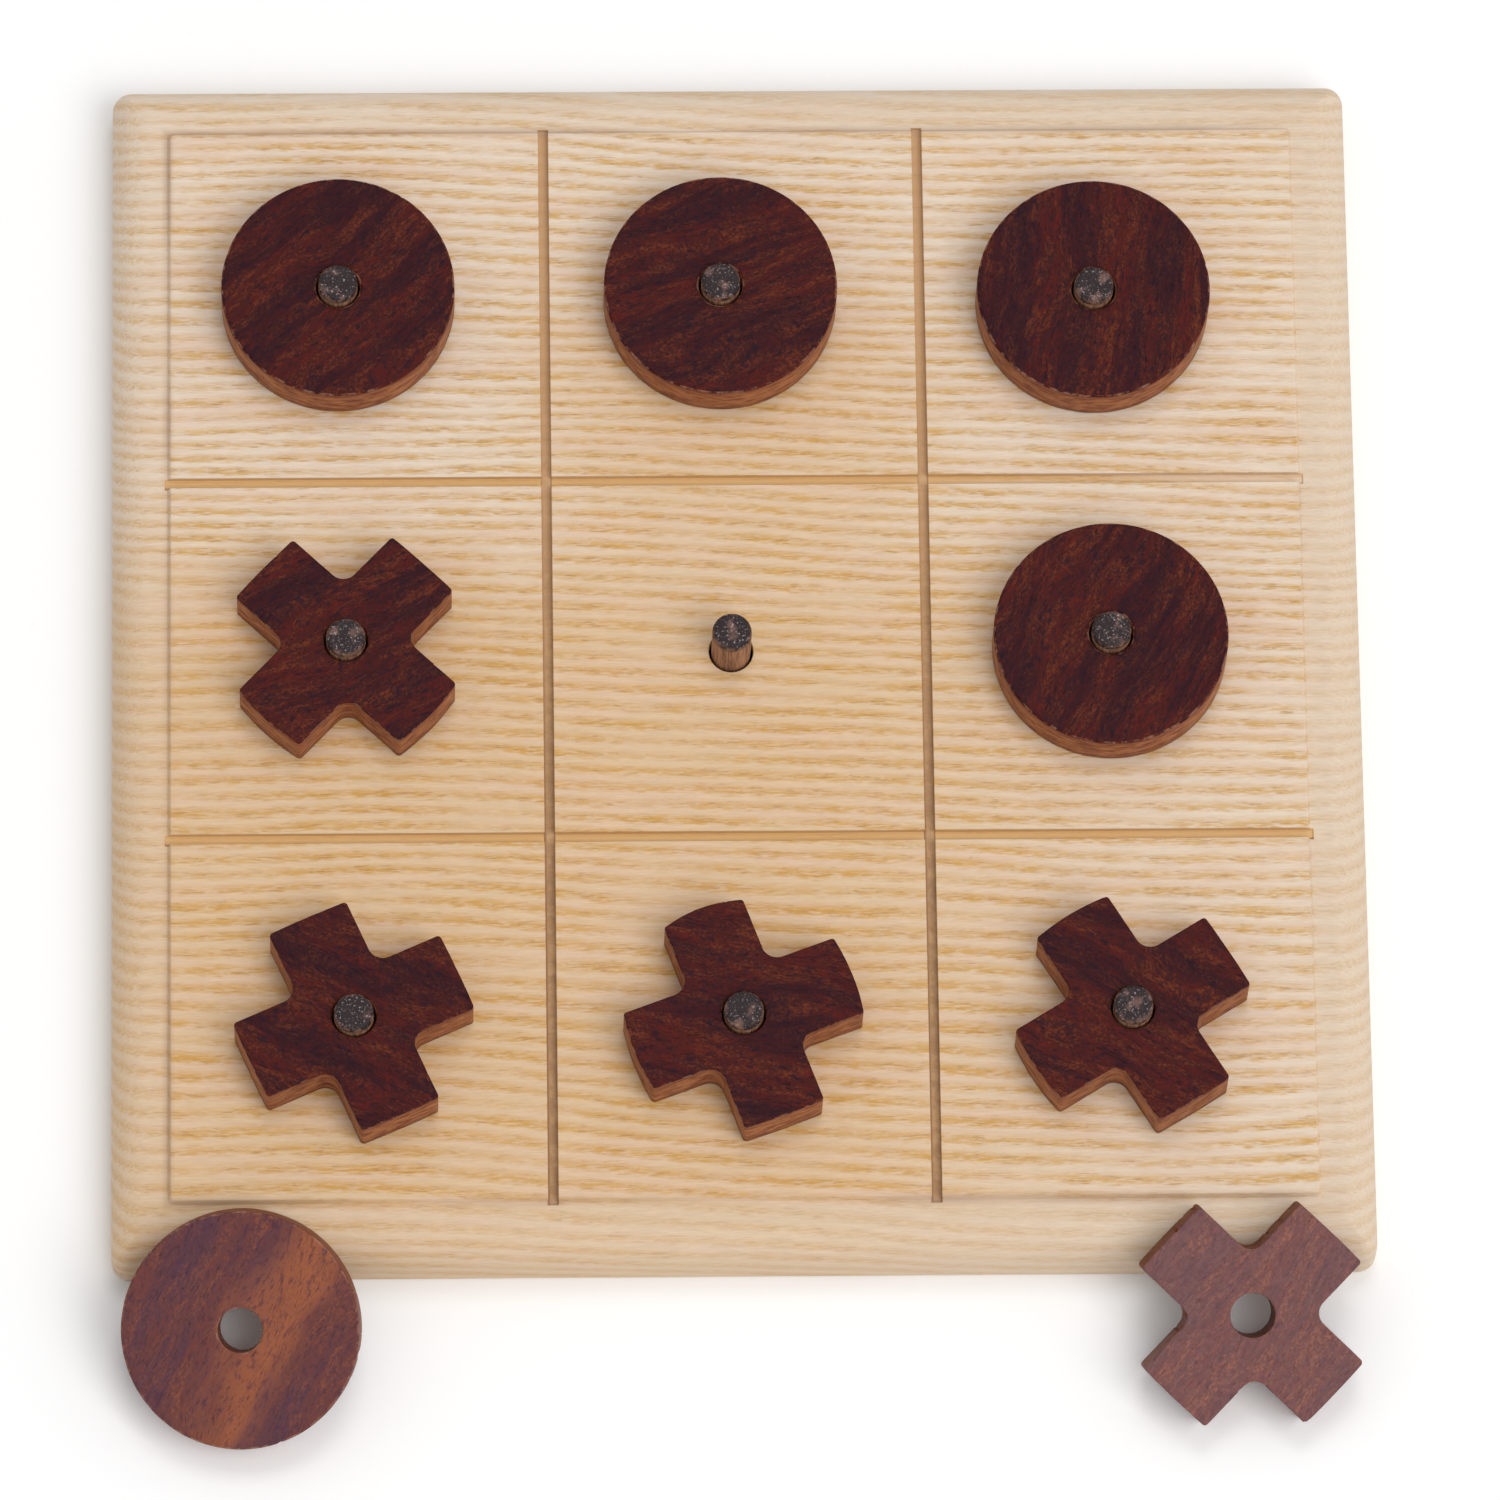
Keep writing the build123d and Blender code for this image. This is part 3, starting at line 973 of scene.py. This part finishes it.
def settle(piece: bpy.types.Object, place: Matrix | None = None) -> bpy.types.Object:
    """Turns a piece with its modifiers into a plain mesh that is in place.

    Args:
        piece: The object that carries the modifiers. It is removed.
        place: Where the mesh goes.

    Returns:
        A new object at the origin, with its place in its mesh.
    """
    graph = bpy.context.evaluated_depsgraph_get()
    mesh = bpy.data.meshes.new_from_object(piece.evaluated_get(graph), preserve_all_data_layers=True,
                                           depsgraph=graph)
    name = piece.name
    bpy.data.objects.remove(piece)
    tidy = bmesh.new()
    tidy.from_mesh(mesh)
    bmesh.ops.remove_doubles(tidy, verts=tidy.verts, dist=STRAY_WELD)
    bmesh.ops.recalc_face_normals(tidy, faces=tidy.faces)
    for face in tidy.faces:
        face.smooth = max(abs(part) for part in face.normal) < FLAT
    tidy.to_mesh(mesh)
    tidy.free()
    if place is not None:
        mesh.transform(place)
    mesh.name = name
    made = bpy.data.objects.new(name, mesh)
    bpy.context.scene.collection.objects.link(made)
    return made


def middle(node: str) -> Vector:
    """The middle of a CAD node's box."""
    low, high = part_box(node)
    return (low + high) / 2


def rounded_square(half: float, radius: float, height: float, steps: int = 6) -> list[Vector]:
    """A square with rounded corners, as a ring of points.

    Args:
        half: From the middle to a side.
        radius: The corners' radius.
        height: The ring's height.
        steps: How many steps each corner takes.

    Returns:
        The points, anticlockwise from the right side's front end.
    """
    points = []
    for corner in range(4):
        turn = corner * QUARTER_TURN
        centre = Matrix.Rotation(turn, 3, "Z") @ Vector((half - radius, half - radius, 0.0))
        for step in range(steps + 1):
            angle = turn + QUARTER_TURN * step / steps
            points.append(centre + Vector((math.cos(angle) * radius, math.sin(angle) * radius, height)))
    return points


def arc(centre: Vector, radius: float, start: float, end: float, steps: int) -> list[Vector]:
    """Points along an arc in the plane, both ends included.

    Args:
        centre: The arc's middle.
        radius: Its radius.
        start: The angle it starts at.
        end: The angle it ends at.
        steps: How many steps it takes.

    Returns:
        The points, in order.
    """
    angles = [start + (end - start) * step / steps for step in range(steps + 1)]
    return [centre + Vector((math.cos(angle) * radius, math.sin(angle) * radius, 0.0)) for angle in angles]


# ---------------------------------------------------------------------------------------------
# The board
# ---------------------------------------------------------------------------------------------


@dataclass
class Board:
    """The ash board, with its raised field, saw cuts and peg holes."""

    pegs: Sequence[str]                     # the nodes of the pegs that it is bored for
    border: float = 9.25 * MM               # round the raised field
    step: float = 0.9 * MM                  # how far the field stands above its border
    step_slope: float = 0.25 * MM           # half of how far the step leans out
    field_corner: float = 0.8 * MM
    upright_corner: float = 3.0 * MM
    least_corner: float = 0.35 * MM
    roundover: float = 6.0 * MM
    roundover_steps: int = 14
    underside_ease: float = 0.6 * MM
    groove_width: float = 1.6 * MM
    groove_up_down: float = 1.5 * MM        # the depth of the cuts from the back to the front
    groove_across: float = 1.2 * MM         # and of those from side to side
    groove_overrun: float = 0.6 * MM        # past the field's edge
    hole_gap: float = 0.4 * MM              # round a peg
    edge_ease: float = 0.22 * MM
    edge_strips: int = 2
    cells: int = 3                          # each way

    def __post_init__(self) -> None:
        """Works out the sizes that follow from the frame."""
        low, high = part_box("board")
        self.half = (high.x - low.x) / 2
        self.top = high.z
        self.level = self.top - self.step
        self.field_half = self.half - self.border
        self.cell = 2 * self.field_half / self.cells
        peg_low, peg_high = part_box(self.pegs[0])
        self.hole_radius = (peg_high.x - peg_low.x) / 2 + self.hole_gap
        self.hole_depth = self.top - peg_low.z

    def corner(self, inset: float) -> float:
        """A ring's corner radius, at a distance in from the side."""
        return max(self.upright_corner - inset, self.least_corner)

    def rings(self) -> list[list[Vector]]:
        """The slab's rings of points.

        Returns:
            The rings, from the underside up over the edge to the field.
        """
        half, ease, turn = self.half, self.underside_ease, self.roundover
        rings = [rounded_square(half - ease, self.corner(ease), 0.0),
                 rounded_square(half, self.upright_corner, ease)]
        for step in range(self.roundover_steps + 1):
            angle = QUARTER_TURN * step / self.roundover_steps
            inset = turn * (1 - math.cos(angle))
            height = self.level - turn * (1 - math.sin(angle))
            rings.append(rounded_square(half - inset, self.corner(inset), height))
        rings.append(rounded_square(self.field_half + self.step_slope, self.field_corner, self.level))
        rings.append(rounded_square(self.field_half - self.step_slope, self.field_corner, self.top))
        return rings

    def build(self) -> bpy.types.Object:
        """Makes the board's mesh and gives it its finish.

        Returns:
            The board, in place.
        """
        rings = self.rings()
        count = len(rings[0])
        points = [point for ring in rings for point in ring]
        faces = [list(range(count))[::-1], list(range(len(points) - count, len(points)))]
        for lower in range(len(rings) - 1):
            for spot in range(count):
                after = (spot + 1) % count
                below, above = lower * count, (lower + 1) * count
                faces.append([below + spot, below + after, above + after, above + spot])
        points += [Vector((middle(peg).x, middle(peg).y, self.top)) for peg in self.pegs]
        board = sketch("ash_board", points, faces=faces)

        finish = AshFinish(field_half=self.field_half / MM, top=self.top / MM, cell=self.cell / MM,
                           groove_half=self.groove_width / MM / 2)
        cut_rule().use(board, {
            "Groove Width": self.groove_width,
            "Groove Length": 2 * (self.field_half + self.groove_overrun),
            "Depth Up Down": self.groove_up_down, "Depth Across": self.groove_across,
            "Cell": self.cell, "Cuts": self.cells - 1, "Top": self.top,
            "Hole Radius": self.hole_radius, "Hole Depth": self.hole_depth, "Finish": finish.material()})
        ease_edges(board, self.edge_ease, self.edge_strips, SHARP_CUT)
        board = settle(board)
        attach(board, "board")
        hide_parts("board")
        return board


# ---------------------------------------------------------------------------------------------
# The pegs
# ---------------------------------------------------------------------------------------------


@dataclass
class Pegs:
    """The nine dowels, glued in the board."""

    names: Sequence[str]                    # their nodes
    taper: float = 0.2 * MM                 # how much thinner the foot is, in radius
    head_round: float = 0.9 * MM
    head_strips: int = 6
    seed: int = 7                           # of the way each peg is turned

    def build(self) -> bpy.types.Object:
        """Makes the pegs as one piece and gives them their finish.

        Returns:
            The pegs, in place.
        """
        low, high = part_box(self.names[0])
        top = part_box("board")[1].z
        radius = (high.x - low.x) / 2
        feet = [Vector((middle(name).x, middle(name).y, top)) for name in self.names]
        pegs = sketch("pegs", feet)
        peg_rule().use(pegs, {
            "Radius": radius, "Foot Radius": radius - self.taper,
            "Stand": high.z - top, "Tenon": top - low.z,
            "Seed": self.seed, "Finish": PegFinish(head_height=high.z / MM).material()})
        ease_edges(pegs, self.head_round, self.head_strips, SHARP_EDGE)
        pegs = settle(pegs)
        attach(pegs, "board")
        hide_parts(*self.names)
        return pegs


# ---------------------------------------------------------------------------------------------
# The tokens
# ---------------------------------------------------------------------------------------------


class Shape(Enum):
    """The two shapes of token."""

    NOUGHT = "nought"
    CROSS = "cross"


@dataclass
class Token:
    """One rosewood token, on its peg or leaning on the board."""

    node: str
    shape: Shape
    finish: bpy.types.Material
    turn: float = 0.0           # degrees, about its own hole
    grain: float = 0.0          # degrees, the way its grain runs
    blank: tuple = (0.0, 0.0, 0.0)          # millimetres, where in the blank it was cut
    chips: float = 0.09 * MM    # how deep its rims are chipped
    seed: float = 0.0           # of its chips and of how its sides stray
    bore_mount: str = ""        # the record's mount that says where a leaning token is
    diameter: float = 37.5 * MM
    thickness: float = 7.5 * MM
    bore: float = 3.55 * MM
    span: float = 36.4 * MM
    arm_width: float = 13.4 * MM
    inner_radius: float = 2.4 * MM
    tip_radius: float = 0.6 * MM
    cad_bow: float = 0.3 * MM   # how far an arm's end bulges within the span
    bows: tuple = (0.3 * MM,) * 4           # how far each of this token's ends bulges
    end_steps: int = 16
    rim_ease: float = 0.5 * MM
    rim_strips: int = 4
    step: float = 0.22 * MM
    wobble: float = 0.12 * MM   # how far its sawn sides stray
    round_steps: int = 180
    tip_steps: int = 6
    nook_steps: int = 10

    def outline(self) -> list[Vector]:
        """The token's outline, as a closed ring of points."""
        if self.shape is Shape.NOUGHT:
            return arc(Vector(), self.diameter / 2, 0.0, math.tau, self.round_steps)[:-1]
        return self.cross_outline()

    def cross_outline(self) -> list[Vector]:
        """Four arms with bowed ends, soft tips and soft inner corners.

        Returns:
            The points, anticlockwise from the first arm's nearer side.
        """
        half, tip, inner = self.arm_width / 2, self.tip_radius, self.inner_radius
        end_x, flat = self.span / 2 - self.cad_bow, half - tip
        nook_middle = Vector((half + inner, half + inner, 0.0))
        start = arc(Vector((end_x - tip, -flat, 0.0)), tip, -QUARTER_TURN, 0.0, self.tip_steps)
        shoulder = arc(Vector((end_x - tip, flat, 0.0)), tip, 0.0, QUARTER_TURN, self.tip_steps)
        nook = arc(nook_middle, inner, -QUARTER_TURN, -2 * QUARTER_TURN, self.nook_steps)
        shares = [step / self.end_steps * 2 - 1 for step in range(1, self.end_steps)]
        points = []
        for arm, bow in enumerate(self.bows):
            turn = Matrix.Rotation(arm * QUARTER_TURN, 3, "Z")
            end = [Vector((end_x + bow * (1 - share * share), flat * share, 0.0)) for share in shares]
            points += [turn @ point for point in start + end + shoulder + nook]
        return points

    def place(self) -> Matrix:
        """Where the token's middle is, and how it lies.

        Returns:
            The matrix that takes a flat token at the origin there.
        """
        turned = Matrix.Rotation(math.radians(self.turn), 4, "Z")
        if not self.bore_mount:
            return Matrix.Translation(middle(self.node)) @ turned
        mount = next(m for m in frame["record"]["mounts"] if m["name"] == self.bore_mount)
        axis = Vector(mount["axis"]).normalized()
        swing = math.atan2(axis.x, -axis.y)
        lean = math.acos(axis.z)
        tilt = Matrix.Rotation(swing, 4, "Z") @ Matrix.Rotation(lean, 4, "X")
        return Matrix.Translation(Vector(mount["pos_m"])) @ tilt @ turned

    def build(self, plate: Rule, wear: Rule) -> bpy.types.Object:
        """Makes the token's mesh and gives it its finish.

        Args:
            plate: The rule that thickens its outline.
            wear: The rule that wears its rims.

        Returns:
            The token, in place.
        """
        ring = self.outline()
        edges = [(spot, (spot + 1) % len(ring)) for spot in range(len(ring))]
        token = sketch(f"rosewood_{self.node}", ring, edges)
        plate.use(token, {"Thickness": self.thickness, "Bore Radius": self.bore, "Step": self.step,
                          "Wobble": self.wobble, "Seed": self.seed, "Finish": self.finish})
        ease_edges(token, self.rim_ease, self.rim_strips, SHARP_EDGE)
        wear.use(token, {"Half Thickness": self.thickness / 2, "Chip Depth": self.chips, "Seed": self.seed,
                         "Bore Radius": self.bore, "Grain Turn": math.radians(self.grain),
                         "Cut From": [part * MM for part in self.blank], "Finish": self.finish})
        token = settle(token, self.place())
        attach(token, self.node)
        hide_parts(self.node)
        return token


# ---------------------------------------------------------------------------------------------
# The studio
# ---------------------------------------------------------------------------------------------


@dataclass
class Studio:
    """A pale floor, soft light and the camera."""

    stand_off: float = 2.2                  # from the camera to where it aims
    tilt: float = math.radians(19.68)       # from straight overhead
    swing: float = math.radians(-4.27)      # round the board, from its front
    roll: float = math.radians(3.665)
    aim_x: float = 1.8 * MM
    aim_y: float = -15.8 * MM
    lens: float = 331.2                     # millimetres, as is the next
    film: float = 36.0
    far_clip: float = 20.0
    floor_side: float = 6.0
    sky_glow: float = 0.612

    def floor(self) -> bpy.types.Object:
        """Lays the floor under the board.

        Returns:
            The floor.
        """
        half, low = self.floor_side / 2, CAD_LOW.z
        square = ((-half, -half), (half, -half), (half, half), (-half, half))
        corners = [Vector((x, y, low)) for x, y in square]
        floor = sketch("floor", corners, faces=[(0, 1, 2, 3)])
        floor.data.materials.append(FloorFinish().material())
        return floor

    def lamp(self, name: str, azimuth: float, height: float, away: float, side: float,
             power: float) -> None:
        """Hangs a soft square lamp that faces the board.

        Args:
            name: The lamp's name.
            azimuth: The way to it from the board, degrees from +X.
            height: How high above the horizon it hangs, degrees.
            away: How far from the board.
            side: The lamp's side.
            power: Its power in watts.
        """
        around, up = math.radians(azimuth), math.radians(height)
        level = Vector((math.cos(around), math.sin(around), 0.0)) * math.cos(up)
        place = (level + Vector((0.0, 0.0, math.sin(up)))) * away
        light = bpy.data.lights.new(name, "AREA")
        light.shape = "SQUARE"
        light.size = side
        light.energy = power
        lamp = bpy.data.objects.new(name, light)
        lamp.location = place
        lamp.rotation_mode = "QUATERNION"
        lamp.rotation_quaternion = (-place).to_track_quat("-Z", "Y")
        bpy.context.scene.collection.objects.link(lamp)

    def sky(self) -> None:
        """Fills the room with even white light."""
        world = bpy.data.worlds.new("studio")
        world.use_nodes = True
        world.node_tree.nodes.clear()
        tree = Tree(world.node_tree)
        glow = tree.add("ShaderNodeBackground", {"Color": (1.0, 1.0, 1.0, 1.0), "Strength": self.sky_glow})
        tree.add("ShaderNodeOutputWorld", {"Surface": glow.outputs[0]})
        bpy.context.scene.world = world

    def camera(self) -> None:
        """Hangs the camera over the player's shoulder."""
        away = Vector((math.sin(self.swing) * math.sin(self.tilt),
                       -math.cos(self.swing) * math.sin(self.tilt), math.cos(self.tilt)))
        aim = Vector((self.aim_x, self.aim_y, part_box("board")[1].z))
        across = Vector((0.0, 0.0, 1.0)).cross(away).normalized()
        upright = away.cross(across)
        turned = across * math.cos(self.roll) + upright * math.sin(self.roll)
        raised = upright * math.cos(self.roll) - across * math.sin(self.roll)
        made = bpy.data.cameras.new("camera")
        made.lens = self.lens
        made.sensor_width = self.film
        made.clip_end = self.far_clip
        camera = bpy.data.objects.new("camera", made)
        basis = Matrix((turned, raised, away)).transposed().to_4x4()
        camera.matrix_world = Matrix.Translation(aim + away * self.stand_off) @ basis
        bpy.context.scene.collection.objects.link(camera)
        bpy.context.scene.camera = camera

    def build(self) -> None:
        """Sets up the floor, the light and the camera."""
        self.floor()
        self.lamp("key", azimuth=-45.0, height=55.0, away=3.0, side=2.0, power=43.4)
        self.lamp("back", azimuth=80.0, height=70.0, away=3.0, side=1.0, power=11.8)
        self.sky()
        self.camera()
        bpy.context.scene.view_settings.view_transform = "Standard"


# ---------------------------------------------------------------------------------------------
# The whole set
# ---------------------------------------------------------------------------------------------


def peg_names() -> list[str]:
    """The pegs' nodes, in name order."""
    return sorted(node for node in frame["nodes"] if node.startswith("peg_"))


def rosewood(name: str, **looks: Any) -> bpy.types.Material:
    """The material of one rosewood blank.

    Args:
        name: The material's name.
        **looks: What sets this blank apart from plain dark rosewood.

    Returns:
        The material.
    """
    return RosewoodFinish(name, Token.thickness / 2 / MM, **looks).material()


def tokens() -> list[Token]:
    """The ten tokens, each with its own piece of the blank.

    Returns:
        The tokens, noughts first.
    """
    heart_cut = (210.0, 90.0, 0.0)
    off_heart = 5.0             # millimetres, from the spare nought's middle to its band of heart
    dark = rosewood("rosewood_dark")
    heart = rosewood("rosewood_heart", glow=0.7, blotted=0.6, dusty=0.1, heart_half=4.5,
                     heart_at=heart_cut[1] - off_heart, wine=srgb(97, 57, 56), red=srgb(116, 58, 51),
                     night=srgb(77, 51, 66), ember=srgb(146, 82, 52), ink=srgb(64, 42, 60),
                     wall=srgb(124, 68, 44))
    faded = rosewood("rosewood_faded", glow=0.8, blotted=0.6, dusty=0.5, wine=srgb(102, 62, 58),
                     red=srgb(134, 74, 70), night=srgb(88, 62, 70), ember=srgb(174, 108, 78),
                     ink=srgb(60, 42, 60), wall=srgb(124, 66, 38), wall_dark=srgb(88, 40, 24))
    nought, cross = Shape.NOUGHT, Shape.CROSS
    straight, bowed, full = 0.1 * MM, 0.5 * MM, 0.9 * MM
    return [
        Token("nought_top_left", nought, dark, grain=-42, blank=(0, 0, 0), seed=1.0),
        Token("nought_top_middle", nought, dark, grain=-20, blank=(90, 40, 0), seed=2.0),
        Token("nought_top_right", nought, dark, grain=-80, blank=(30, 120, 0), seed=3.0),
        Token("nought_middle_right", nought, dark, grain=-62, blank=(150, 60, 0), seed=4.0),
        Token("nought_spare", nought, heart, grain=-71, blank=heart_cut, seed=5.0,
              chips=0.15 * MM, bore_mount="nought_spare_bore"),
        Token("cross_middle_left", cross, dark, turn=46.5, grain=20, blank=(20, 200, 0), seed=6.0,
              bows=(straight, straight, bowed, bowed)),
        Token("cross_bottom_left", cross, dark, turn=24, grain=50, blank=(70, 260, 0), seed=7.0,
              bows=(straight,) * 4),
        Token("cross_bottom_middle", cross, dark, turn=20.3, grain=30, blank=(140, 190, 0), seed=8.0,
              bows=(bowed, full, bowed, straight)),
        Token("cross_bottom_right", cross, dark, turn=31.6, grain=60, blank=(220, 240, 0), seed=9.0,
              bows=(straight, bowed, bowed, straight)),
        Token("cross_spare", cross, faded, turn=41, grain=-10, blank=(260, 160, 0), seed=10.0,
              bows=(straight,) * 4, chips=0.3 * MM, bore_mount="cross_spare_bore"),
    ]


def main() -> None:
    """Builds the studio and every piece, and reports each one."""
    logging.basicConfig(level=logging.INFO, format="%(name)s: %(message)s")
    Studio().build()
    pegs = peg_names()
    made = [Board(pegs).build(), Pegs(pegs).build()]
    plate, wear = plate_rule(), wear_rule()
    made += [token.build(plate, wear) for token in tokens()]
    for piece in made:
        LOG.info("%s: %d faces", piece.name, len(piece.data.polygons))


if __name__ == "__main__":
    main()
